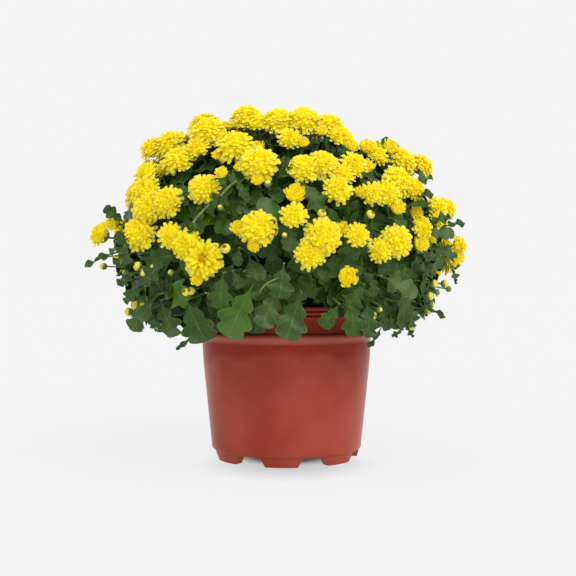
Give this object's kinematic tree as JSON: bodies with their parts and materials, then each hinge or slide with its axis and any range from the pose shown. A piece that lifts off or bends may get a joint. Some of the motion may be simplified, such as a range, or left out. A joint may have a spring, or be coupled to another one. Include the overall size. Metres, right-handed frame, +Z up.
{
  "type": "pot chrysanthemum",
  "caption": "Bushy flowering pot plant: a dome of double yellow blooms and lobed green leaves in a tapered plastic nursery pot on short feet.",
  "frame": {"origin": "on the pot's axis, on the surface that its feet stand on, which is the bottom centre of the whole plant's box", "axes": "+Z up along the pot's axis, -Y towards the plant's front, +X to the right as seen from the front, the way the plant is widest"},
  "size_m": [0.3671, 0.3577, 0.3338],
  "materials": {
    "pot": "satin",
    "soil": "matte",
    "foliage": "matte",
    "petals": "matte"
  },
  "bodies": {
    "root": {"pot": "pot", "soil": "soil", "cutting_1": "foliage", "cutting_2": "foliage", "cutting_3": "foliage", "cutting_4": "foliage", "cutting_5": "foliage", "blooms_01": "petals", "blooms_02": "petals", "blooms_03": "petals", "blooms_04": "petals", "blooms_05": "petals", "blooms_06": "petals", "blooms_07": "petals", "blooms_08": "petals", "blooms_09": "petals", "blooms_10": "petals", "blooms_11": "petals", "blooms_12": "petals", "blooms_13": "petals", "blooms_14": "petals", "blooms_15": "petals", "blooms_16": "petals", "blooms_17": "petals", "blooms_18": "petals", "blooms_19": "petals", "blooms_20": "petals", "blooms_21": "petals", "blooms_22": "petals", "blooms_23": "petals", "blooms_24": "petals", "blooms_25": "petals", "blooms_26": "petals", "blooms_27": "petals", "blooms_28": "petals", "blooms_29": "petals", "blooms_30": "petals", "blooms_31": "petals", "blooms_32": "petals", "blooms_33": "petals", "blooms_34": "petals", "blooms_35": "petals", "blooms_36": "petals", "blooms_37": "petals", "blooms_38": "petals", "blooms_39": "petals", "blooms_40": "petals", "blooms_41": "petals", "blooms_42": "petals", "blooms_43": "petals", "blooms_44": "petals", "blooms_45": "petals", "blooms_46": "petals", "blooms_47": "petals", "blooms_48": "petals", "blooms_49": "petals", "blooms_50": "petals", "blooms_51": "petals", "blooms_52": "petals"}
  },
  "joints": []
}
